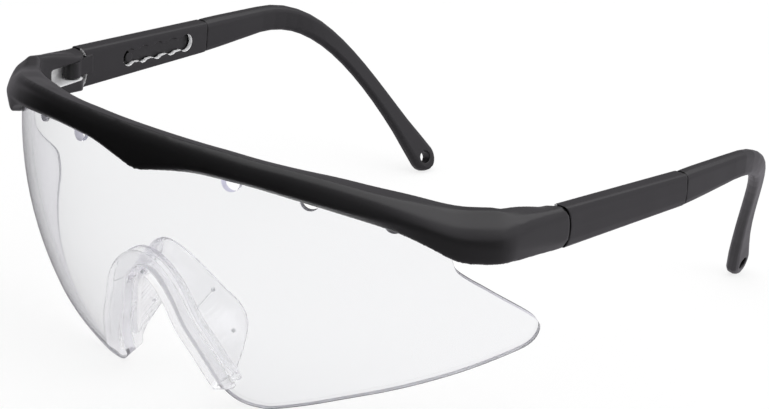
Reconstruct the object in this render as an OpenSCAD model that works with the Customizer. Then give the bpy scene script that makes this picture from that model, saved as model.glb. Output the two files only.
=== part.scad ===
// Squash goggles: one clear spherical shield lens hung from a black brow frame, a soft clear nose
// piece clipped on the lens, and two folding temples whose bent tips slide in and out of sleeves.
// Millimetres, +Z up, +Y towards the wearer, +X to the wearer's left. The goggles stand on the
// lens lobes and the temple tips, with the origin under the middle of that footprint.

/* [Lens] */
// Outer radius of the spherical lens blank
lens_r = 88; // [84:0.5:92]
// Thickness of the lens
lens_t = 2.2; // [1.8:0.1:2.6]
// Height at which the lens stands upright
lens_pole_z = 45; // [40:1:50]
// Height of the wing tip's outermost point
wing_z = 26; // [22:0.5:30]
// Height of the nose notch's top in the lens
notch_z = 32.5; // [28:0.5:35]
// Half the width of the nose notch near its mouth
notch_half_w = 15.5; // [13:0.5:17]
// Distance of each lobe's lowest point from the middle
lobe_x = 22.5; // [20:0.5:24]
// Radius of the vent holes under the brow
vent_r = 2.3; // [1.5:0.1:2.6]
// Angle of the first vent hole from the middle, in degrees
vent_angle = 15.2; // [13:0.1:17]
// Angle between two vent holes, in degrees
vent_step = 12.3; // [11:0.1:13]

/* [Brow frame] */
// How far the brow stands proud of the lens
brow_proud = 3.8; // [3.2:0.1:4.2]
// Depth of the brow from front to back
brow_depth = 7.8; // [7.6:0.1:8.4]
// Height of the brow's lower edge in the middle
brow_peak_z = 56.3; // [54:0.1:57]
// How far the lower edge rises beside the middle peak
peak_drop = 2.1; // [1:0.1:3]
// Height of the brow in the middle, from the lower edge to the top
brow_h = 9.1; // [8:0.1:10]
// How far the lens reaches up into the brow
lens_bite = 2.6; // [2:0.1:2.8]
// Radius of the turn from the brow into the end pieces
corner_r = 9; // [8.5:0.5:16]
// Depth of the end pieces from their outer faces inwards
end_depth = 6.4; // [6.3:0.1:7]
// Clearance between the lens and what grips it
lens_gap = 0.2; // [0.1:0.05:0.3]

/* [Hinge] */
// Distance of the temples' outer faces from the middle
temple_x = 76; // [75:0.5:78]
// Distance from the lens front to the seam between end piece and sleeve
seam_y = 56; // [54:0.1:60]
// Height of the temple's middle at the seam
temple_z = 46.8; // [46:0.1:48]
// Gap at the seam, and between sleeve and tip
seam_gap = 0.2; // [0.15:0.05:0.4]
// How far the end piece bulges back into the sleeve at the seam
seam_bulge = 1.5; // [1:0.1:1.8]
// Radius of the hinge pin
pin_r = 0.8; // [0.6:0.1:1]
// Distance from the pin to the seam
pin_back = 3; // [2.9:0.1:3.6]
// Radius of the round knuckle on the sleeve
knuckle_r = 2.1; // [1.8:0.1:2.3]
// Height of the knuckle
knuckle_h = 4.2; // [3.4:0.1:4.4]
// Height of the open jaw in the end piece
jaw_h = 4.7; // [4.6:0.1:5.2]
// Length of the open jaw, forward from the seam
jaw_l = 12.5; // [9:0.5:13.5]
// Thickness of the end piece's outer wall beside the jaw
jaw_wall = 1.3; // [1.1:0.1:1.5]
// Running clearance round the hinge pin
pin_gap = 0.05; // [0.02:0.01:0.09]

/* [Sleeve] */
// Length of the sleeve
sleeve_l = 43.7; // [42:0.1:52]
// Height of the sleeve at the seam
sleeve_h = 9.8; // [9:0.1:10.4]
// Height of the sleeve at its rear end
sleeve_end_h = 7.7; // [7:0.1:8.6]
// Thickness of the sleeve
sleeve_t = 4.4; // [4.2:0.1:5]
// Downward slope of the temple, in degrees
droop = 3.7; // [0:0.1:5]
// Thickness of the sleeve's inner wall
sleeve_wall = 1.2; // [1:0.1:1.3]
// Number of length stops in the slot
stop_count = 5; // [3:1:5]
// Distance between two length stops
stop_pitch = 5; // [4.6:0.1:5.2]
// Distance from the seam to the first length stop
stop_first = 16.2; // [14:0.1:19]
// Radius of each length stop
stop_r = 2.1; // [1.9:0.05:2.2]
// Half the height of the slot between the length stops
slot_half_h = 1.5; // [1.5:0.05:1.7]

/* [Temple tip] */
// Thickness of the tongue that slides in the sleeve
tongue_t = 1.6; // [1.2:0.1:1.7]
// Height of the tongue
tongue_h = 4.2; // [3.6:0.1:4.4]
// Clearance round the tongue
tongue_gap = 0.15; // [0.1:0.05:0.2]
// Radius of the peg that clicks into the length stops
peg_r = 1.2; // [0.9:0.1:1.2]
// Straight length of the tip behind the sleeve
tip_straight = 20; // [14:1:30]
// How far the bent end reaches back beyond the straight
tip_reach = 37; // [32:1:42]
// How far the bent end drops
tip_drop = 39.9; // [39:0.1:40.5]
// How far the bent end leans inwards
tip_inset = 23.1; // [16:0.1:26]
// Height of the tip where it leaves the sleeve
tip_h = 8; // [7:0.1:8.4]
// Width of the tip at its narrowest
tip_neck = 4.3; // [3.8:0.1:5]
// Thickness of the tip where it leaves the sleeve
tip_t = 4.2; // [3.8:0.1:4.6]
// Thickness of the tip at its thinnest
tip_thin = 2.8; // [2.4:0.1:3.4]
// Thickness of the paddle at the cord hole
paddle_t = 3.2; // [2.8:0.1:3.8]
// Radius of the paddle round the cord hole
paddle_r = 3.5; // [3.1:0.1:3.8]
// Radius of the cord hole
hole_r = 1.5; // [1.2:0.1:1.7]

/* [Nose piece] */
// How far the channel reaches over the lens
channel_reach = 3.8; // [2.6:0.1:4.4]
// Thickness of the channel's lips
channel_lip = 1.7; // [0.9:0.1:2]
// Depth of the pads behind the lens
pad_depth = 16.6; // [14:0.1:18]
// How far the pads flare outwards
pad_flare = 1.4; // [1:0.1:2.4]
// Thickness of the pads
pad_t = 1.7; // [1.3:0.1:2.2]

/* [Hidden] */
$fn = 48;
frame_black = [0.09, 0.09, 0.1];
temple_black = [0.2, 0.2, 0.215];
clear_tint = [0.88, 0.92, 0.95, 0.45];
pin_steel = [0.7, 0.7, 0.72];
side_steps = 64;

// The wing tips of the lens reach as wide as the temples
lens_half_w = temple_x;
brow_low_z = brow_peak_z + peak_drop;
brow_top_z = brow_peak_z + brow_h;

// Clearance of the knuckle in its jaw, and of the round ear from what swings past it
swing_gap = 0.3;
pin_x = temple_x - jaw_wall - swing_gap - knuckle_r;
pin_y = seam_y - pin_back;
ear_r = pin_back - swing_gap;
jaw_z = temple_z + 0.8;
sleeve_end = [temple_x - sleeve_t / 2, seam_y + seam_gap / 2, temple_z]
    + sleeve_l * [0, cos(droop), -sin(droop)];
hole_at = sleeve_end + [-0.9, tip_straight, -0.5] + [-tip_inset, tip_reach, -tip_drop];

// Smooth curves through hand-chosen points: a cubic through each span of [position, value] pairs
function slope(t, i) = i == 0 || i == len(t) - 1 ? 0
    : (t[i + 1][1] - t[i - 1][1]) / (t[i + 1][0] - t[i - 1][0]);
function span(t, s, i = 0) = i >= len(t) - 2 || s < t[i + 1][0] ? i : span(t, s, i + 1);
function cubic(a, b, ma, mb, w, k) = (2 * k ^ 3 - 3 * k ^ 2 + 1) * a + (k ^ 3 - 2 * k ^ 2 + k) * w * ma
    + (3 * k ^ 2 - 2 * k ^ 3) * b + (k ^ 3 - k ^ 2) * w * mb;
function through(t, s) = let (i = span(t, s), w = t[i + 1][0] - t[i][0],
    k = min(max((s - t[i][0]) / w, 0), 1))
    cubic(t[i][1], t[i + 1][1], slope(t, i), slope(t, i + 1), w, k);
function ease(k) = let (c = min(max(k, 0), 1)) c * c * (3 - 2 * c);
function unit(v) = v / norm(v);

// Distance from the upright axis through the lens centre to a sphere round the same centre
function ring(off, z) = sqrt((lens_r + off) ^ 2 - (z - lens_pole_z) ^ 2);
function face_y(off, x, z) = lens_r - sqrt(ring(off, z) ^ 2 - x ^ 2);

// Plan path of the brow's front: a long arc, a tighter corner arc and a short straight to the seam
path_r = lens_r + brow_proud;
corner_angle = asin((temple_x - corner_r) / (path_r - corner_r));
arc_len = path_r * corner_angle * PI / 180;
turn_len = corner_r * (90 - corner_angle) * PI / 180;
turn_end_y = lens_r - (path_r - corner_r) * cos(corner_angle);
brow_end_y = seam_y + seam_bulge;
path_len = arc_len + turn_len + brow_end_y - turn_end_y;
function heading(s) = s < arc_len ? s / path_r * 180 / PI
    : min(90, corner_angle + (s - arc_len) / corner_r * 180 / PI);
function path_at(s) = let (h = heading(s))
    s < arc_len ? [path_r * sin(h), lens_r - path_r * cos(h)]
    : s < arc_len + turn_len ? [path_r * sin(corner_angle), lens_r - path_r * cos(corner_angle)]
        + corner_r * [sin(h) - sin(corner_angle), cos(corner_angle) - cos(h)]
    : [temple_x, turn_end_y + s - arc_len - turn_len];

// Heights of the brow's lower edge and top along the path
end_low = temple_z - sleeve_h / 2;
end_top = temple_z + sleeve_h / 2;
low_line = [[0, brow_peak_z], [5, brow_peak_z + 0.9], [10, brow_low_z - 0.4], [15, brow_low_z],
    [20, brow_low_z], [30, brow_low_z - 0.6], [40, brow_low_z - 2], [50, brow_low_z - 3.9],
    [60, brow_low_z - 6.3], [66, brow_low_z - 8.2], [72, brow_low_z - 10.9], [78, brow_low_z - 14],
    [84, end_low + 1.6], [92, end_low + 1.4], [100, end_low + 0.8], [path_len, end_low]];
top_line = [[0, brow_top_z], [20, brow_top_z - 0.5], [30, brow_top_z - 1.3], [40, brow_top_z - 2.3],
    [50, brow_top_z - 3.9], [60, brow_top_z - 6], [70, brow_top_z - 8.1], [78, end_top + 3.7],
    [84, end_top + 3.2], [90, end_top + 2.6], [97, end_top + 1.3], [path_len, end_top - 0.1]];

// The bevel along the lower front edge: how far it goes in, and how high it is
bevel_depth = [[0, 0.4], [8, 0.9], [18, 2.1], [60, 2.2], [74, 1.1], [path_len, 0.9]];
bevel_height = [[0, 0.5], [8, 1], [18, 1.5], [50, 1.9], [66, 3], [78, 5], [88, 4], [path_len, 2]];

// Depth of the brow, which thins to the end piece past the lens's upper corners
depth_line = [[0, brow_depth], [75, brow_depth], [85, (brow_depth + end_depth) / 2], [95, end_depth],
    [path_len, end_depth]];

// How much larger the rounding of the top front edge is than in the middle
top_round = [[0, 1], [58, 1], [76, 2.2], [90, 2.2], [98, 1.3], [path_len, 1]];

// How much lower the brow's top is at its back than at its front
top_fall = [[0, 1.5], [30, 1.5], [40, 1.35], [50, 0.7], [60, 0.2], [66, 0], [72, 0], [78, -0.15],
    [84, -0.2], [90, -0.6], [96, -0.9], [102, -0.3], [106, 0.4], [path_len, 0.5]];

// Cross-section of the brow at a place on the path, as [depth from the front, height] points
function brow_profile(s) = let (
    lo = through(low_line, s), hi = through(top_line, s),
    lean = 1 - ease((s - arc_len) / turn_len),
    d = through(depth_line, s), fall = through(top_fall, s), c = through(top_round, s),
    in = through(bevel_depth, s), up = through(bevel_height, s))
    [for (p = [
        [in, lo], [0.45 * in, lo + 0.55 * up], [0, lo + up], [0, (lo + up + hi - 2 * c) / 2],
        [0.05 * c, hi - 2 * c], [0.45 * c, hi - 1.2 * c + 0.3], [1.4 * c, hi - 0.35 * (c - 1)],
        [0.55 * d, hi - 0.4 * fall], [d - 1.1, hi - fall], [d - 0.25, hi - fall - 0.45], [d, hi - fall - 1.3],
        [d, lo + 1], [d - 0.3, lo + 0.25], [d - 1, lo]])
        [p[0] + lean * (path_r - ring(brow_proud, p[1])), p[1]]];
front_y = face_y(brow_proud, 0, brow_peak_z + bevel_height[0][1]);
footprint_mid = (front_y + hole_at.y + paddle_r) / 2;

function brow_ring(s) = let (m = s < 0 ? -1 : 1, k = path_at(abs(s)), h = heading(abs(s)))
    [for (q = brow_profile(abs(s))) [m * (k.x - q[0] * sin(h)), k.y + q[0] * cos(h), q[1]]];

// Closed solid through a row of rings that have the same number of points
module loft(rings) {
    n = len(rings[0]);
    m = len(rings);
    sides = [for (i = [0:m - 2]) for (j = [0:n - 1]) let (a = i * n + j, b = i * n + (j + 1) % n)
        each [[a, b, b + n], [a, b + n, a + n]]];
    polyhedron([for (r = rings) each r],
        concat(sides, [[for (j = [n - 1:-1:0]) j]], [[for (j = [0:n - 1]) (m - 1) * n + j]]));
}

// Puts a piece that is drawn with the lens pole at y = 0 over the middle of the footprint
module placed() {
    translate([0, -footprint_mid, 0]) children();
}

// Draws a piece of the wearer's left side, or its mirror image on the right
module on_side(left) {
    placed() mirror([left ? 0 : 1, 0, 0]) children();
}

// Lens outline: half of its edge seen from the front, from the notch's top round to the brow
lobe_line = [[0, notch_z], [3.8, notch_z - 2], [6.9, notch_z - 6.5], [9.2, notch_z - 13],
    [notch_half_w - 3.5, 13.5], [notch_half_w - 1.4, 7], [notch_half_w - 0.4, 3.4],
    [notch_half_w + 1.6, 1.2], [lobe_x - 3, 0.25], [lobe_x, 0], [25.4, 0.4], [34.1, 3.3],
    [42.9, 6.6], [53.5, 10.4], [63.8, 14.9], [lens_half_w - 4.6, 19.3], [lens_half_w - 1.6, 21.8],
    [lens_half_w - 0.1, wing_z - 0.8], [lens_half_w - 0.2, wing_z + 1.8],
    [lens_half_w - 2, wing_z + 5.2], [lens_half_w - 5.5, wing_z + 9.9],
    [lens_half_w - 7.9, wing_z + 12.6], [lens_half_w - 9.8, wing_z + 15.1],
    [lens_half_w - 10.4, wing_z + 18]];
function bend(a, b, c, d, k) = 0.5 * (2 * b + (c - a) * k + (2 * a - 5 * b + 4 * c - d) * k ^ 2
    + (3 * b - 3 * c + d - a) * k ^ 3);
function flow(t, steps) = [for (i = [0:len(t) - 2]) for (j = [0:steps - 1])
    bend(i == 0 ? [-t[1].x, t[1].y] : t[i - 1], t[i], t[i + 1], t[min(i + 2, len(t) - 1)], j / steps)];
function brow_low_at(x) = through(low_line, path_r * asin(x / lens_r) * PI / 180);
lens_top_x = [for (x = [lens_half_w - 12.5:-3.5:4]) x];
lens_half = concat(flow(lobe_line, 4), [for (x = lens_top_x) [x, brow_low_at(x) + lens_bite]]);
lens_outline = concat(lens_half, [[0, brow_low_at(0) + lens_bite]],
    [for (i = [len(lens_half) - 1:-1:1]) [-lens_half[i].x, lens_half[i].y]]);
vents = [for (i = [0:2]) let (x = lens_r * sin(vent_angle + i * vent_step))
    [x, brow_low_at(x) - 0.6 + 0.95 * i]];

// Lens outline seen from the centre of the sphere, drawn on a plane in front of the lens
outline_plane = lens_r + 20;
outline_depth = lens_r + 7;
function seen_from_centre(p) = let (k = outline_plane / (lens_r - face_y(0, p.x, p.y)))
    [k * p.x, -k * (p.y - lens_pole_z)];

module lens() {
    color(clear_tint) placed() difference() {
        intersection() {
            difference() {
                translate([0, lens_r, lens_pole_z]) sphere(lens_r, $fn = 160);
                translate([0, lens_r, lens_pole_z]) sphere(lens_r - lens_t, $fn = 160);
            }
            translate([0, lens_r - outline_plane, lens_pole_z]) rotate([-90, 0, 0])
                linear_extrude(outline_depth, scale = 1 - outline_depth / outline_plane)
                polygon([for (p = lens_outline) seen_from_centre(p)]);
        }
        for (m = [-1, 1]) for (v = vents)
            translate([0, lens_r, lens_pole_z])
                rotate([0, 0, m * asin(v.x / lens_r)])
                rotate([90 - asin((v.y - lens_pole_z) / lens_r), 0, 0])
                translate([0, 0, lens_r - lens_t - 4]) cylinder(h = lens_t + 8, r = vent_r);
    }
}

// Groove for the lens along the brow's underside, which runs just past the lens's upper corners
lens_corner_x = lobe_line[len(lobe_line) - 1].x;
groove_end = path_r * asin(lens_corner_x / lens_r) * PI / 180 + 1.3;
module lens_groove() {
    loft([for (i = [-40:40]) let (s = i / 40 * groove_end, k = path_at(abs(s)), h = heading(abs(s)),
        m = s < 0 ? -1 : 1, lo = through(low_line, abs(s)), hi = lo + lens_bite + 0.4)
        [for (q = [[lens_gap, lo - 6], [lens_gap, hi],
            [-lens_t - lens_gap, hi], [-lens_t - lens_gap, lo - 6]])
            let (u = path_r - ring(q[0], q[1]))
            [m * (k.x - u * sin(h)), k.y + u * cos(h), q[1]]]]);
}

// Round end of the end piece, a cylinder across the temple, whose radius follows from its bulge
seam_r = (sleeve_h ^ 2 / 4 + seam_bulge ^ 2) / (2 * seam_bulge);
module seam_round() {
    translate([temple_x - 10, seam_y + seam_bulge - seam_r, temple_z]) rotate([0, 90, 0])
        cylinder(h = 20, r = seam_r);
}

// What is cut from an end piece: the open jaw, the corner that the sleeve swings past, the pin bore
// and what lies behind its round end
module hinge_cuts() {
    translate([pin_x - 6, seam_y - jaw_l, jaw_z - jaw_h / 2])
        cube([6 + temple_x - jaw_wall - pin_x, jaw_l + seam_bulge + 1, jaw_h]);
    difference() {
        translate([pin_x - 8, pin_y, end_low - 2]) cube([8, pin_back + seam_bulge + 1, sleeve_h + 6]);
        translate([pin_x, pin_y, end_low - 3]) cylinder(h = sleeve_h + 8, r = ear_r);
    }
    difference() {
        translate([temple_x - 9, seam_y - 2, end_low - 3]) cube([18, seam_bulge + 4, sleeve_h + 6]);
        translate([0, -seam_gap / 2, 0]) seam_round();
    }
    translate([pin_x, pin_y, end_low - 2]) cylinder(h = pin_top - end_low + 2.1, r = pin_r + 0.02);
}
pin_top = jaw_z + jaw_h / 2 + 1;

module brow_frame() {
    color(frame_black) placed() difference() {
        loft([for (i = [-side_steps:side_steps]) brow_ring(i / side_steps * path_len)]);
        lens_groove();
        for (m = [0, 1]) mirror([m, 0, 0]) hinge_cuts();
    }
}

module hinge_pin(left) {
    color(pin_steel) on_side(left)
        translate([pin_x, pin_y, end_low + 0.4]) cylinder(h = pin_top - end_low - 0.4, r = pin_r);
}

// Sleeve frame: origin at the seam on the outer face's middle height, +Y along the sloping temple
module along_temple() {
    translate([temple_x, seam_y + seam_gap / 2, temple_z]) rotate([-droop, 0, 0]) children();
}
function soft_box(t, h, y, lean = 0) = [for (p = [
    [0.9, -0.5], [0.35, -0.44], [0.06, -0.3], [0, 0], [0.06, 0.34], [0.35, 0.46], [0.9, 0.5],
    [t - 0.7, 0.5], [t - 0.2, 0.46], [t, 0.36], [t, -0.36], [t - 0.2, -0.46], [t - 0.7, -0.5]])
    [-p[0], y - lean * p[1] * h, p[1] * h]];
travel = (stop_count - 1) * stop_pitch;
tongue_front = stop_first - 3.2;

module temple_sleeve(left) {
    color(temple_black) on_side(left) difference() {
        union() {
            difference() {
                along_temple() loft([for (k = [0:4]) soft_box(sleeve_t,
                    sleeve_h + (sleeve_end_h - sleeve_h) * k / 4, sleeve_l * k / 4,
                    k == 0 ? tan(droop) : 0)]);
                translate([0, seam_gap / 2, 0]) seam_round();
            }
            translate([pin_x, pin_y, jaw_z - knuckle_h / 2]) {
                cylinder(h = knuckle_h, r = knuckle_r);
                translate([-knuckle_r * 0.6, 0, 0])
                    cube([2 * knuckle_r * 0.8, pin_back + seam_bulge + 1.6, knuckle_h]);
            }
        }
        translate([pin_x, pin_y, jaw_z - knuckle_h]) cylinder(h = 2 * knuckle_h, r = pin_r + pin_gap);
        along_temple() {
            translate([-sleeve_t + sleeve_wall, tongue_front - 0.6, -tongue_h / 2 - tongue_gap])
                cube([tongue_t + 2 * tongue_gap, sleeve_l, tongue_h + 2 * tongue_gap]);
            for (i = [0:stop_count - 1])
                translate([-sleeve_t - 1, stop_first + i * stop_pitch, 0]) rotate([0, 90, 0])
                    cylinder(h = sleeve_wall + 1.2, r = stop_r);
            translate([-sleeve_t - 1, stop_first, -slot_half_h])
                cube([sleeve_wall + 1.2, travel, 2 * slot_half_h]);
        }
    }
}

// Bent end of the tip: a cubic curve from the straight to the cord hole, then on past the hole
bend_start = sleeve_end + [-0.9, tip_straight, -0.5];
bend_handle = [-1.1, 22, -0.7];
hole_handle = [9, -11.5, 22];
bend_pull = bend_start + bend_handle;
hole_pull = hole_at + hole_handle;
function tip_line(k) = k <= 0 ? sleeve_end + (k + 1) * (bend_start - sleeve_end)
    : k <= 1 ? (1 - k) ^ 3 * bend_start + 3 * k * (1 - k) ^ 2 * bend_pull
        + 3 * k ^ 2 * (1 - k) * hole_pull + k ^ 3 * hole_at
    : hole_at + (k - 1) * end_way;
end_way = unit(hole_at - hole_pull);
function tip_way(k) = k >= 1 ? end_way : k < -0.95 ? [0, cos(droop), -sin(droop)]
    : unit(tip_line(k + 0.02) - tip_line(k - 0.02));
tip_width = [[-1, tip_h], [-0.3, tip_h - 1.1], [0.15, tip_h - 2.1], [0.45, tip_neck + 0.3],
    [0.7, tip_neck], [0.88, tip_neck + 0.9], [1, 2 * paddle_r]];
tip_depth = [[-1, tip_t], [0, tip_t - 0.4], [0.45, tip_thin + 0.1], [0.75, tip_thin], [1, paddle_t]];
function tip_ring(k, w, t) = let (c = tip_line(k), y = tip_way(k), x = unit([1, 0, 0] - y.x * y),
    z = cross(x, y))
    [for (p = [[0.5, 0.3], [0.42, 0.42], [0.2, 0.5], [-0.2, 0.5], [-0.42, 0.42], [-0.5, 0.3],
        [-0.5, -0.3], [-0.42, -0.42], [-0.2, -0.5], [0.2, -0.5], [0.42, -0.42], [0.5, -0.3]])
        c + p[0] * t * x + p[1] * w * z];
hole_way = let (x = unit([1, 0, 0] - end_way.x * end_way)) x;

module temple_tip(left) {
    color(temple_black) on_side(left) difference() {
        union() {
            loft(concat(
                [for (i = [0:30]) let (k = -1 + i / 15)
                    tip_ring(k + (i == 0 ? seam_gap / tip_straight : 0), through(tip_width, k),
                        through(tip_depth, k))],
                [for (a = [20, 40, 58, 74]) tip_ring(1 + paddle_r * sin(a),
                    2 * paddle_r * cos(a), paddle_t * (1 - 0.12 * a / 74))]));
            along_temple() {
                translate([-sleeve_t + sleeve_wall + tongue_gap, tongue_front, -tongue_h / 2])
                    cube([tongue_t, sleeve_l - tongue_front + 3, tongue_h]);
                translate([-sleeve_t + 0.2, stop_first, 0]) rotate([0, 90, 0])
                    cylinder(h = sleeve_wall + 0.5, r = peg_r);
            }
        }
        multmatrix(hole_frame) translate([0, 0, -10]) cylinder(h = 20, r = hole_r);
    }
}
hole_up = cross(end_way, hole_way);
hole_frame = [[end_way.x, hole_up.x, hole_way.x, hole_at.x], [end_way.y, hole_up.y, hole_way.y, hole_at.y],
    [end_way.z, hole_up.z, hole_way.z, hole_at.z], [0, 0, 0, 1]];

// Nose piece: a channel that grips the notch's edge, with pads that flare back beside the nose
notch_line = flow([for (i = [0:7]) lobe_line[i]], 4);
notch_last = len(notch_line) - 6;
function notch_at(i) = let (p = notch_line[abs(i)]) [sign(i) * p.x, p.y];
function on_lens(p, off) = [p.x, face_y(off, p.x, p.y), p.y];
function depth_share(k) = through([[0, 0.61], [0.3, 0.73], [0.55, 0.92], [0.72, 1], [0.82, 0.9],
    [0.89, 0.65], [0.94, 0.45], [1, 0.36]], k);
function flare_share(k) = through([[0, 1], [0.3, 0.85], [0.55, 0.85], [0.72, 0.65], [0.82, 1],
    [0.9, 1.05], [0.95, 0.7], [1, 0.3]], k);
function nose_ring(i) = let (c = on_lens(notch_at(i), 0),
    t = unit(on_lens(notch_at(i + 1), 0) - on_lens(notch_at(i - 1), 0)),
    n = unit(c - [0, lens_r, lens_pole_z]), b = cross(n, t),
    k = abs(i) / notch_last, g = lens_gap, r = channel_reach * (1 + 0.35 * k), l = channel_lip,
    w = -lens_t - g, d = pad_depth * depth_share(k), f = pad_flare * flare_share(k))
    [for (q = [[-g, g], [r, g], [r, g + 0.6 * l], [r - 0.7, g + l], [-1, g + l], [-1.9, g + 0.4 * l],
        [-2.1, -0.6 * lens_t], [-1.9, w - l], [f - 1.2, min(w - l - 0.3, -d + 1.6)], [f + 0.2, -d],
        [f + pad_t, -d + 0.4], [f + pad_t, min(w - l - 0.9, -d + 1.8)], [0.6, w - l - 0.6],
        [r - 0.7, w - l], [r, w - 0.6 * l], [r, w], [-g, w]])
        c + q[0] * b + q[1] * n];

module nose_piece() {
    color(clear_tint) placed() loft([for (i = [notch_last:-1:-notch_last]) nose_ring(i)]);
}

module hinge_pin_left() { hinge_pin(true); }
module hinge_pin_right() { hinge_pin(false); }
module temple_sleeve_left() { temple_sleeve(true); }
module temple_sleeve_right() { temple_sleeve(false); }
module temple_tip_left() { temple_tip(true); }
module temple_tip_right() { temple_tip(false); }

brow_frame();
lens();
nose_piece();
hinge_pin_left();
hinge_pin_right();
temple_sleeve_left();
temple_sleeve_right();
temple_tip_left();
temple_tip_right();
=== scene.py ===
import math

import bmesh
import bpy
from mathutils import Matrix, Vector
from mathutils.bvhtree import BVHTree


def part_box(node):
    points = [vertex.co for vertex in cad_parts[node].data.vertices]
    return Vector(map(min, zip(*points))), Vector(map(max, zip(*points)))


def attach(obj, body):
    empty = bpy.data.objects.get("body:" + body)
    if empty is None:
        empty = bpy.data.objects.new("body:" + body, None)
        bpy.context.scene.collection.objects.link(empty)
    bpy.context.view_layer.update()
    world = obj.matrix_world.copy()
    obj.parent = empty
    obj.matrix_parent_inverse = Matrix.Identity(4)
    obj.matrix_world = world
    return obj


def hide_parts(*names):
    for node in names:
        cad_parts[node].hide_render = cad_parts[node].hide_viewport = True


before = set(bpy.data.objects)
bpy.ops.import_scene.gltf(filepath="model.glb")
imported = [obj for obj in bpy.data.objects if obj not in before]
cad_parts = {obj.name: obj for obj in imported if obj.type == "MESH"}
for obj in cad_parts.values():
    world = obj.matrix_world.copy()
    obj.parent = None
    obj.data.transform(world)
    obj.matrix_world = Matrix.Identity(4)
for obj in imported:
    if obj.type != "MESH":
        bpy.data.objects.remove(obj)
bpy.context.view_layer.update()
mm = 0.001
pureWhite = (1, 1, 1, 1)
print("frame loaded")


# fitted to the photo through the seams, sleeve ends, cord holes and vents of both sides
camera = {
    "azimuth": 40.086,  # degrees to the wearer's left of straight ahead
    "elevation": 21.038,
    "roll": 1.702,
    "distance": 1200 * mm,
    "target": (19.73 * mm, -18.39 * mm, 36.08 * mm),
    "lens": 246.02,
    "sensor": 36,
    "clip": (0.05, 30),
}


def makeCamera(c):
    a, e, r = (math.radians(c[k]) for k in ("azimuth", "elevation", "roll"))
    back = Vector((math.sin(a) * math.cos(e), -math.cos(a) * math.cos(e), math.sin(e)))
    right = Vector((math.cos(a), math.sin(a), 0))
    up = back.cross(right)
    right, up = right * math.cos(r) + up * math.sin(r), up * math.cos(r) - right * math.sin(r)
    data = bpy.data.cameras.new("camera")
    data.lens = c["lens"]
    data.sensor_width = c["sensor"]
    data.sensor_fit = "HORIZONTAL"
    data.clip_start, data.clip_end = c["clip"]
    cam = bpy.data.objects.new("camera", data)
    bpy.context.scene.collection.objects.link(cam)
    turn = Matrix((right, up, back)).transposed().to_4x4()
    cam.matrix_world = Matrix.Translation(Vector(c["target"]) + back * c["distance"]) @ turn
    bpy.context.scene.camera = cam


def feed(tree, node, values):
    # each value is what another node gives, or a plain number or colour
    for key, value in values.items():
        if isinstance(value, bpy.types.NodeSocket):
            tree.links.new(value, node.inputs[key])
        else:
            node.inputs[key].default_value = value


def newNode(tree, kind, *inOrder, **named):
    node = tree.nodes.new(kind)
    for key, value in named.items():
        if hasattr(node, key):
            setattr(node, key, value)
        else:
            feed(tree, node, {key: value})
    feed(tree, node, dict(enumerate(inOrder)))
    return node


def spread(tree, value, fromLow, fromHigh, toLow, toHigh):
    return newNode(tree, "ShaderNodeMapRange", value, fromLow, fromHigh, toLow, toHigh).outputs[0]


def combine(tree, operation, first, second):
    return newNode(tree, "ShaderNodeMath", first, second, operation=operation).outputs[0]


def mixed(tree, share, plain, other):
    return newNode(tree, "ShaderNodeMixShader", share, plain, other).outputs[0]


def alongWay(tree, vector, way):
    # how far a direction or place lies along the way given
    node = newNode(tree, "ShaderNodeVectorMath", vector, way, operation="DOT_PRODUCT")
    return node.outputs["Value"]


def byRay(tree, lighting, gloss, seen):
    # one shader lights the part, one shows in its gloss, one meets the camera, also through glass
    path = newNode(tree, "ShaderNodeLightPath").outputs
    looking = combine(tree, "MAXIMUM", path["Is Camera Ray"], path["Is Transmission Ray"])
    unseen = mixed(tree, path["Is Glossy Ray"], lighting, gloss)
    return mixed(tree, looking, unseen, seen)


studio = {
    "floorSize": 6.0,
    "floorWhite": 0.9,
    "shadowShare": 0.22,  # how much of the floor's real shading the camera sees near the part
    "shadowReach": (0.16, 0.6),  # it fades into white between these distances
    "worldFill": 0.52,
    "brightWay": (0.852, 0.397, 0.342),  # the side of the room that is bright in gloss
    "roomDark": 0.08,  # what gloss sees on the other side
    "roomBright": 1.1,
    "roomFall": 1.9,
    "roomTint": (0.97, 0.93, 1.0, 1),
    "floorWay": (0.906, 0.423, 0.0),  # in gloss the floor turns from dark to bright along this
    "floorTurn": (-0.16, 0.04),
    "floorDark": 0.08,
    "floorBright": 0.82,
    "depthWay": (0, 1, 0),
    "behindTurn": (-0.05, 0.01),  # going back between these it rises to at least behindShare
    "behindShare": 0.35,
    "frontTurn": (-0.12, 0.02),  # coming forward between these it falls to frontShare
    "frontShare": 0.25,
    "innerFloor": 0.9,  # the floor as gloss inside clear plastic sees it
}


def makeWorld(s):
    world = bpy.data.worlds.new("studio")
    bpy.context.scene.world = world
    world.use_nodes = True
    tree = world.node_tree
    tree.nodes.clear()
    way = newNode(tree, "ShaderNodeTexCoord").outputs["Generated"]
    share = spread(tree, alongWay(tree, way, s["brightWay"]), -1.0, 1.0, 0.0, 1.0)
    fall = combine(tree, "POWER", share, s["roomFall"])
    room = spread(tree, fall, 0.0, 1.0, s["roomDark"], s["roomBright"])
    lighting = newNode(tree, "ShaderNodeBackground", pureWhite, s["worldFill"]).outputs[0]
    gloss = newNode(tree, "ShaderNodeBackground", s["roomTint"], room).outputs[0]
    seen = newNode(tree, "ShaderNodeBackground", pureWhite, 1.0).outputs[0]
    newNode(tree, "ShaderNodeOutputWorld", byRay(tree, lighting, gloss, seen))


def newPiece(bm, name):
    mesh = bpy.data.meshes.new(name)
    bm.to_mesh(mesh)
    bm.free()
    piece = bpy.data.objects.new(name, mesh)
    bpy.context.scene.collection.objects.link(piece)
    return piece


def newMaterial(name):
    mat = bpy.data.materials.new(name)
    mat.use_nodes = True
    return mat, mat.node_tree


def opaque(color):
    return tuple(color) + (1,)


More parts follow.
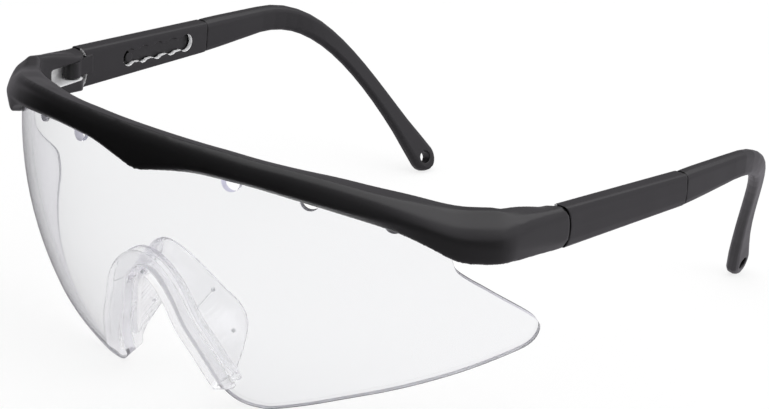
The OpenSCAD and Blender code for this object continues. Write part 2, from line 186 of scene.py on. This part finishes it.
def makeFloor(s):
    bm = bmesh.new()
    bmesh.ops.create_grid(bm, x_segments=1, y_segments=1, size=s["floorSize"] / 2)
    floor = newPiece(bm, "floor")
    mat, tree = newMaterial("paleFloor")
    tree.nodes.clear()
    place = newNode(tree, "ShaderNodeTexCoord").outputs["Object"]
    across = spread(tree, alongWay(tree, place, s["floorWay"]), *s["floorTurn"], 0.0, 1.0)
    deep = alongWay(tree, place, s["depthWay"])
    behind = spread(tree, deep, *s["behindTurn"], 0.0, s["behindShare"])
    lit = combine(tree, "MAXIMUM", across, behind)
    level = spread(tree, lit, 0.0, 1.0, s["floorDark"], s["floorBright"])
    front = spread(tree, deep, *s["frontTurn"], s["frontShare"], 1.0)
    outside = combine(tree, "MULTIPLY", level, front)
    glassDepth = newNode(tree, "ShaderNodeLightPath").outputs["Transmission Depth"]
    inside = spread(tree, glassDepth, 0.0, 1.0, 0.0, s["innerFloor"])
    room = combine(tree, "MAXIMUM", outside, inside)
    gloss = newNode(tree, "ShaderNodeEmission", s["roomTint"], room).outputs[0]
    paint = newNode(tree, "ShaderNodeBsdfDiffuse", opaque((s["floorWhite"],) * 3)).outputs[0]
    white = newNode(tree, "ShaderNodeEmission", pureWhite, 1.0).outputs[0]
    away = newNode(tree, "ShaderNodeVectorMath", place, operation="LENGTH").outputs["Value"]
    shadow = spread(tree, away, *s["shadowReach"], s["shadowShare"], 0.0)
    seen = mixed(tree, shadow, white, paint)
    newNode(tree, "ShaderNodeOutputMaterial", byRay(tree, paint, gloss, seen))
    floor.data.materials.append(mat)


lamps = {
    "topSoftbox": {"place": (0.15, 0.1, 0.9), "size": 1.7, "power": 9.8, "inGloss": True},
    "sideSoftbox": {"place": (0.95, 0.25, 0.45), "size": 0.7, "power": 3.0, "inGloss": False},
    "frontFill": {"place": (-0.7, -0.8, 0.5), "size": 0.6, "power": 1.2, "inGloss": False},
}
lampTarget = Vector((0, 0, 0.03))


def makeLamps(rows):
    for name, row in rows.items():
        data = bpy.data.lights.new(name, "AREA")
        data.shape = "SQUARE"
        data.size = row["size"]
        data.energy = row["power"]
        lamp = bpy.data.objects.new(name, data)
        bpy.context.scene.collection.objects.link(lamp)
        aim = lampTarget - Vector(row["place"])
        turn = aim.to_track_quat("-Z", "Y").to_matrix().to_4x4()
        lamp.matrix_world = Matrix.Translation(row["place"]) @ turn
        lamp.visible_camera = False
        lamp.visible_glossy = row["inGloss"]


makeCamera(camera)
makeWorld(studio)
makeFloor(studio)
makeLamps(lamps)
bpy.context.scene.view_settings.view_transform = "Standard"
print("camera and studio made")


finishes = {
    "browBlack": {
        "color": (0.0036, 0.0035, 0.0037),
        "rough": 0.33,
        "grain": 0.22 * mm,
        "depth": 0.003 * mm,
        "vary": 0.05,
    },
    "templeBlack": {
        "color": (0.0045, 0.0043, 0.0048),
        "rough": 0.4,
        "grain": 0.16 * mm,
        "depth": 0.004 * mm,
        "vary": 0.05,
    },
    # painted highlight: pale colour on faces where light glares white, in the jaw's recess, on the
    # slot's rims and on the sleeve's front end
    "paintedHighlight": {
        "color": (0.95, 0.95, 0.96),
        "rough": 0.35,
        "grain": 0.16 * mm,
        "depth": 0.003 * mm,
        "vary": 0.05,
    },
}
mouldClouds = {
    "scale": 90.0,
    "span": (0.3, 0.7),  # of the noise, over which the roughness varies
    "tones": (0.85, 1.15),  # shares of the colour
}


def plastic(name, f):
    mat, tree = newMaterial(name)
    place = newNode(tree, "ShaderNodeTexCoord").outputs["Object"]
    grain = newNode(tree, "ShaderNodeTexNoise", Vector=place, Scale=0.5 / f["grain"], Detail=2.0,
                    Roughness=0.5)
    bump = newNode(tree, "ShaderNodeBump", Strength=1.0, Distance=f["depth"],
                   Height=grain.outputs["Fac"])
    cloud = newNode(tree, "ShaderNodeTexNoise", Vector=place, Scale=mouldClouds["scale"],
                    Detail=3.0, Roughness=0.6).outputs["Fac"]
    low, high = f["rough"] - f["vary"], f["rough"] + f["vary"]
    dark, light = (opaque(share * c for c in f["color"]) for share in mouldClouds["tones"])
    tone = newNode(tree, "ShaderNodeMix", data_type="RGBA", Factor=cloud, A=dark, B=light)
    feed(tree, tree.nodes["Principled BSDF"], {
        "Base Color": tone.outputs["Result"],
        "Roughness": spread(tree, cloud, *mouldClouds["span"], low, high),
        "Normal": bump.outputs["Normal"],
    })
    return mat


cutEdge = {
    "color": (0.78, 0.77, 0.83),
    "rough": 0.35,
    "vary": 0.1,
    "ior": 1.45,
    "through": 0.2,
    "coat": 0.0,
    "paintedGlow": 0.0,  # painted glow: the cut edges give off light, standing in for what clear plastic leads inside itself to them
    "limbShade": (0.5, 0.49, 0.54),  # painted shade: its colour where it turns away from the eye, standing in for the dark edge that light inside the plastic gives
    "turn": (0.86, 0.98),  # and how far it has turned where that starts and is whole
    "clearing": 0.0,  # seen along its skin it mirrors less of the dark room than bare glass would
    "depthColor": (0.86, 0.87, 0.92),
    "density": 30.0,
}

softVinyl = {
    "color": (0.988, 0.988, 0.992),
    "rough": 0.08,
    "vary": 0.06,
    "ior": 1.13,
    "through": 0.93,
    "coat": 0.9,
    "paintedGlow": 0.0,
    "limbShade": (0.72, 0.71, 0.77),
    "turn": (0.95, 1.0),
    "clearing": 0.4,
    "depthColor": (0.8, 0.79, 0.87),
    "density": 26.0,
}

clears = {
    "lensClear": {
        "color": (0.965, 0.967, 0.972),
        "rough": 0.0,
        "vary": 0.01,
        "ior": 1.585,
        "through": 1.0,
        "coat": 0.0,
        "paintedGlow": 0.0,
        "limbShade": (0.08, 0.08, 0.09),
        "turn": (0.93, 0.99),
        "clearing": 0.0,
        "depthColor": (0.8, 0.81, 0.85),
        "density": 55.0,
    },
    "lensRim": cutEdge,
    "lensEdgeShade": {**cutEdge, "color": (0.13, 0.13, 0.145), "rough": 0.3, "limbShade": (0.1, 0.1, 0.11)},
    "lensSeat": {
        **cutEdge,
        "color": (0.97, 0.965, 0.99),
        "rough": 0.3,
        "ior": 1.05,
        "paintedGlow": 0.2,
        "limbShade": (0.85, 0.84, 0.89),
        "density": 20.0,
    },
    "ventWall": {
        **cutEdge,
        "color": (0.91, 0.9, 0.99),
        "rough": 0.12,
        "vary": 0.08,
        "ior": 1.02,
        "through": 0.45,
        "paintedGlow": 0.2,
        "limbShade": (0.6, 0.59, 0.68),
        "depthColor": (0.86, 0.86, 0.93),
    },
    "noseClear": softVinyl,
    "noseMark": {
        **softVinyl,
        "color": (0.94, 0.94, 0.96),
        "rough": 0.3,
        "vary": 0.05,
        "ior": 1.2,
        "through": 0.45,
        "coat": 0.3,
        "limbShade": (0.78, 0.78, 0.82),
        "turn": (0.8, 1.0),
        "clearing": 0.0,
    },
}
clearHaze = {
    "scale": 60.0,
    "span": (0.35, 0.75),  # of the noise, over which the roughness varies
    "coatRough": 0.12,
    "clearingTurn": (0.5, 0.85),
}


def clearPlastic(name, f):
    mat, tree = newMaterial(name)
    skin = tree.nodes["Principled BSDF"]
    facing = newNode(tree, "ShaderNodeLayerWeight", Blend=0.5).outputs["Facing"]
    # painted shade: the colour turns to the limb shade where the skin turns away from the eye
    turning = spread(tree, facing, *f["turn"], 0.0, 1.0)
    tintAndLimbShade = newNode(tree, "ShaderNodeMix", data_type="RGBA", Factor=turning, A=opaque(f["color"]),
                   B=opaque(f["limbShade"])).outputs["Result"]
    place = newNode(tree, "ShaderNodeTexCoord").outputs["Object"]
    haze = newNode(tree, "ShaderNodeTexNoise", Vector=place, Scale=clearHaze["scale"], Detail=4.0,
                   Roughness=0.6).outputs["Fac"]
    feed(tree, skin, {
        "Base Color": tintAndLimbShade,
        "Roughness": spread(tree, haze, *clearHaze["span"], f["rough"], f["rough"] + f["vary"]),
        "IOR": f["ior"],
        "Transmission Weight": f["through"],
        "Coat Weight": f["coat"],
        "Coat Roughness": clearHaze["coatRough"],
    })
    # painted glow: the cut edges give off light in their own colour, though they are no lamp
    if f["paintedGlow"]:
        feed(tree, skin, {"Emission Color": opaque(f["color"]), "Emission Strength": f["paintedGlow"]})
    depth = newNode(tree, "ShaderNodeVolumeAbsorption", opaque(f["depthColor"]), f["density"])
    out = tree.nodes["Material Output"]
    feed(tree, out, {"Volume": depth.outputs[0]})
    if f["clearing"]:
        past = newNode(tree, "ShaderNodeBsdfTransparent", tintAndLimbShade)
        share = spread(tree, facing, *clearHaze["clearingTurn"], 0.0, f["clearing"])
        feed(tree, out, {"Surface": mixed(tree, share, skin.outputs[0], past.outputs[0])})
    return mat


pinFinish = {
    "color": (0.62, 0.62, 0.64),
    "rough": (0.2, 0.45),
    "squeeze": (1, 1, 12),  # turns the noise into fine rings round the pin
    "lineScale": 900.0,
}


def steel(name, f):
    mat, tree = newMaterial(name)
    place = newNode(tree, "ShaderNodeTexCoord").outputs["Object"]
    turned = newNode(tree, "ShaderNodeMapping", Vector=place, Scale=f["squeeze"]).outputs[0]
    lines = newNode(tree, "ShaderNodeTexNoise", Vector=turned, Scale=f["lineScale"], Detail=2.0)
    feed(tree, tree.nodes["Principled BSDF"], {
        "Base Color": opaque(f["color"]),
        "Metallic": 1.0,
        "Roughness": spread(tree, lines.outputs["Fac"], 0.0, 1.0, *f["rough"]),
    })
    return mat


looks = {name: plastic(name, finish) for name, finish in finishes.items()}
looks.update((name, clearPlastic(name, finish)) for name, finish in clears.items())
looks["pinSteel"] = steel("pinSteel", pinFinish)
print("materials made")


def copyOfNode(node, name):
    bm = bmesh.new()
    bm.from_mesh(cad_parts[node].data)
    bmesh.ops.remove_doubles(bm, verts=bm.verts, dist=0.002 * mm)
    bmesh.ops.dissolve_degenerate(bm, edges=bm.edges, dist=0.001 * mm)
    return newPiece(bm, name)


def finishPiece(piece, node, body, names, sharpAngle):
    for name in names:
        piece.data.materials.append(looks[name])
    piece.data.shade_smooth()
    piece.data.set_sharp_from_angle(angle=math.radians(sharpAngle))
    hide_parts(node)
    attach(piece, body)


def smoothed(piece, passes, group=""):
    smooth = piece.modifiers.new("soft", "SMOOTH")
    smooth.factor = 0.5
    smooth.iterations = passes
    smooth.vertex_group = group


def rounded(piece, voxel, passes):
    # even quads all over, then smoothing, gives the soft edges of a moulding
    remesh = piece.modifiers.new("even", "REMESH")
    remesh.mode = "VOXEL"
    remesh.voxel_size = voxel
    remesh.use_smooth_shade = True
    smoothed(piece, passes)


def settle(piece):
    # the modifiers' result becomes the mesh, so that single faces can take another finish
    seen = piece.evaluated_get(bpy.context.evaluated_depsgraph_get())
    mesh = bpy.data.meshes.new_from_object(seen)
    piece.modifiers.clear()
    piece.data = mesh


def paintHighlight(piece, getsPaintedHighlight):
    # faces that pass the test get the painted highlight; the test gets places in mm and takes both
    # sides of the goggles as the left one
    for face in piece.data.polygons:
        c, n = face.center, face.normal
        side = 1 if c.x > 0 else -1
        if getsPaintedHighlight(side * c.x / mm, c.y / mm, c.z / mm, side * n.x, n.y, n.z):
            face.material_index = 1


shieldLens = {
    "radius": 88 * mm,
    "poleHeight": 45 * mm,
    "poleFront": -78.585 * mm,  # where the outer sphere's foremost point lies
    "looks": ("lensClear", "lensRim", "lensSeat", "lensEdgeShade", "ventWall"),
    "skinFacing": 0.97,  # a face of the curved skins points this straight from the sphere's middle
    "lineWidth": 0.6 * mm,  # of the painted shade line on the rim's inner edge above, outer below
    "middleDepth": 1.1 * mm,
    "seatSpare": 1.5 * mm,  # the seat's finish ends this far above the foot of the nose piece
    "sharpAngle": 30,
}
lensCentre = Vector((0, shieldLens["poleFront"] + shieldLens["radius"], shieldLens["poleHeight"]))

browMoulding = {
    "voxel": 0.32 * mm,
    "passes": 5,
    "sharpAngle": 40,
    # the jaw's upward floor and inward wall get the painted highlight
    "jaw": ((67.0, 75.2), (-35.4, -20.8), (45.0, 50.1)),  # the open jaw's room on the left, mm
    "jawWall": 74.2,
    "jawFloor": 46,
    "jawFacing": 0.6,
    "softPasses": 30,
    "shellRadius": 89.0,  # the outer skin lies further than this from the sphere's middle, mm
    "cheek": 75.3,  # or further out than this
    "skinFacing": 0.2,  # and points at least this much away from it
    "seam": (-26.0, -23.0),  # the softening ends between these, before the hinge seam
}


def softenSkin(piece, b):
    # the outer skin turns over its bevels more softly than the groove and the hinge do
    group = piece.vertex_groups.new(name="skin")
    start, stop = b["seam"]
    for v in piece.data.vertices:
        out = v.co - lensCentre
        onShell = out.length > b["shellRadius"] * mm or abs(v.co.x) > b["cheek"] * mm
        if onShell and v.normal.dot(out) > b["skinFacing"] * out.length:
            share = (stop * mm - v.co.y) / (stop - start) / mm
            group.add([v.index], min(max(share, 0.0), 1.0), "REPLACE")
    smoothed(piece, b["softPasses"], group.name)


def makeBrow(b):
    piece = copyOfNode("brow_frame", "browMoulding")
    rounded(piece, b["voxel"], b["passes"])
    settle(piece)
    softenSkin(piece, b)
    settle(piece)
    names = ("browBlack", "paintedHighlight")
    finishPiece(piece, "brow_frame", "front", names, b["sharpAngle"])
    (lowX, highX), (lowY, highY), (lowZ, highZ) = b["jaw"]

    def jawHighlight(x, y, z, nx, ny, nz):
        inside = lowX < x < highX and lowY < y < highY and lowZ < z < highZ
        floor = nz > b["jawFacing"] and z < b["jawFloor"]
        wall = nx < -b["jawFacing"] and x > b["jawWall"]
        return inside and (floor or wall)

    paintHighlight(piece, jawHighlight)


makeBrow(browMoulding)
print("brow made")


def biggestIsland(faces):
    # the faces of the largest connected group among those given
    left = set(faces)
    best = set()
    while left:
        group = set()
        edge = [left.pop()]
        while edge:
            face = edge.pop()
            group.add(face)
            near = {f for e in face.edges for f in e.link_faces if f in left}
            left -= near
            edge.extend(near)
        if len(group) > len(best):
            best = group
    return sorted(best, key=lambda f: f.index)


def makeLens(s):
    piece = copyOfNode("lens", "shieldLens")
    noseLow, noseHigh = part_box("nose_piece")
    seatFoot = noseLow[2] + s["seatSpare"]
    look = {name: i for i, name in enumerate(s["looks"])}

    def inSeat(c):
        return noseLow[0] < c.x < noseHigh[0] and seatFoot < c.z < noseHigh[2]

    def outward(face, c):
        return face.normal.dot((c - lensCentre).normalized())

    bm = bmesh.new()
    bm.from_mesh(piece.data)
    bm.normal_update()
    walls = [f for f in bm.faces if abs(outward(f, f.calc_center_median())) < s["skinFacing"]]
    for face in walls:
        face.material_index = look["ventWall"]
    rim = biggestIsland(walls)
    lines = bmesh.ops.inset_region(bm, faces=rim, thickness=s["lineWidth"], use_boundary=True,
                                   use_even_offset=True)["faces"]
    for face in rim:
        face.material_index = look["lensSeat" if inSeat(face.calc_center_median()) else "lensRim"]
    # the strip's faces on the rim's inner edge above and outer edge below get the painted shade
    # line
    for face in lines:
        c = face.calc_center_median()
        outer = (c - lensCentre).length > s["radius"] - s["middleDepth"]
        edge = "lensEdgeShade" if outer == (face.normal.z < 0) else "lensRim"
        face.material_index = look["lensSeat" if inSeat(c) else edge]
    bm.to_mesh(piece.data)
    bm.free()
    finishPiece(piece, "lens", "front", s["looks"], s["sharpAngle"])
    # with the sphere's own normals the facets of the skins don't bend what is seen through them
    mesh = piece.data
    normals = [Vector(n.vector) for n in mesh.corner_normals]
    for face in mesh.polygons:
        facing = outward(face, face.center)
        if abs(facing) > s["skinFacing"] and face.material_index == look["lensClear"]:
            for corner in face.loop_indices:
                v = mesh.vertices[mesh.loops[corner].vertex_index].co
                normals[corner] = (v - lensCentre).normalized() * (1 if facing > 0 else -1)
    mesh.normals_split_custom_set(normals)


makeLens(shieldLens)
print("lens made")


nosePad = {
    "voxel": 0.25 * mm,
    "passes": 14,
    "sharpAngle": 50,
    "clearance": 0.18 * mm,  # the channel's walls stand off the lens by this
    "reach": 0.45 * mm,
    "touching": 0.02 * mm,
    "pips": ((-64.4, 25.96), (-61.3, 16.25)),  # y and z of the two moulded pips on each pad, mm
    "pipRadius": 0.5 * mm,
    "lineStart": (-72.2, 24.6),  # a fine raised line runs from here to the upper pip
    "lineRadius": 0.11 * mm,
    "outside": 40 * mm,  # the pads are found from this far out
}


def standOff(piece, lens, n):
    # walls that almost touch would show as speckles through clear plastic
    skin = BVHTree.FromPolygons([v.co for v in lens.vertices], [p.vertices for p in lens.polygons])
    for v in piece.data.vertices:
        spot, normal, _, gap = skin.find_nearest(v.co, n["reach"])
        if spot is None:
            continue
        if (v.co - spot).dot(normal) < n["touching"]:
            v.co = spot + normal * n["clearance"]
        elif gap < n["clearance"]:
            v.co = spot + (v.co - spot).normalized() * n["clearance"]


def addMarks(bm, n):
    skin = BVHTree.FromBMesh(bm)
    for side in (-1, 1):
        spots = []
        for y, z in (n["lineStart"],) + n["pips"]:
            start = Vector((side * n["outside"], y * mm, z * mm))
            spots.append(skin.ray_cast(start, Vector((-side, 0, 0)))[0])
        for spot in spots[1:]:
            bmesh.ops.create_icosphere(bm, subdivisions=2, radius=n["pipRadius"],
                                       matrix=Matrix.Translation(spot))
        run = spots[1] - spots[0]
        turn = run.to_track_quat("Z", "Y").to_matrix().to_4x4()
        middle = Matrix.Translation((spots[0] + spots[1]) / 2)
        bmesh.ops.create_cone(bm, cap_ends=True, segments=12, radius1=n["lineRadius"],
                              radius2=n["lineRadius"], depth=run.length, matrix=middle @ turn)


def makeNose(n):
    piece = copyOfNode("nose_piece", "nosePad")
    rounded(piece, n["voxel"], n["passes"])
    settle(piece)
    standOff(piece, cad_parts["lens"].data, n)
    bm = bmesh.new()
    bm.from_mesh(piece.data)
    plain = len(bm.faces)
    addMarks(bm, n)
    for face in list(bm.faces)[plain:]:
        face.material_index = 1
    bm.to_mesh(piece.data)
    bm.free()
    names = ("noseClear", "noseMark")
    finishPiece(piece, "nose_piece", "front", names, n["sharpAngle"])


makeNose(nosePad)
print("nose piece made")


temple = {
    "voxel": 0.18 * mm,
    "passes": 4,
    "sharpAngle": 40,
    # the slot's lit rims and the sleeve's front end beside the jaw get the painted highlight
    "slotDepth": (71.65, 73.0),  # the slot's rim, from the middle plane out, all in mm
    "slotRun": (-9.0, 17.0),
    "slotMiddle": (45.35, -0.0645),  # height of the slot's middle at y 0 and its slope
    "slotHalf": 2.8,
    "slotFacing": 0.7,  # the rim's faces point less to the side than this
    "slotRoof": -0.3,  # and no further down than this, before the last stop
    "lastStop": 12.5,
    "frontFace": -20.5,
    "frontFacing": -0.5,
    "frontInner": 72.8,
    "jawHeights": (45.3, 49.9),
}


def makeTemple(t, side):
    sleeve = copyOfNode("temple_sleeve_" + side, "templeSleeve_" + side)
    rounded(sleeve, t["voxel"], t["passes"])
    settle(sleeve)
    finishPiece(sleeve, "temple_sleeve_" + side, "sleeve_" + side,
                ("templeBlack", "paintedHighlight"), t["sharpAngle"])
    inner, outer = t["slotDepth"]
    start, stop = t["slotRun"]
    height, slope = t["slotMiddle"]
    jawFoot, jawTop = t["jawHeights"]

    def getsPaintedHighlight(x, y, z, nx, ny, nz):
        middle = height + slope * y
        inRun = start < y < stop and abs(z - middle) < t["slotHalf"]
        rim = inner < x < outer and abs(nx) < t["slotFacing"]
        lit = nz > t["slotRoof"] or y > t["lastStop"]
        besideJaw = z > jawTop or z < jawFoot
        front = y < t["frontFace"] and ny < t["frontFacing"] and x < t["frontInner"]
        return (inRun and rim and lit) or (front and besideJaw)

    paintHighlight(sleeve, getsPaintedHighlight)
    tip = copyOfNode("temple_tip_" + side, "templeTip_" + side)
    rounded(tip, t["voxel"], t["passes"])
    finishPiece(tip, "temple_tip_" + side, "tip_" + side, ("templeBlack",),
                t["sharpAngle"])
    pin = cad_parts["hinge_pin_" + side]
    pin.data.materials.clear()
    pin.data.materials.append(looks["pinSteel"])


for side in ("left", "right"):
    makeTemple(temple, side)
print("temples made")
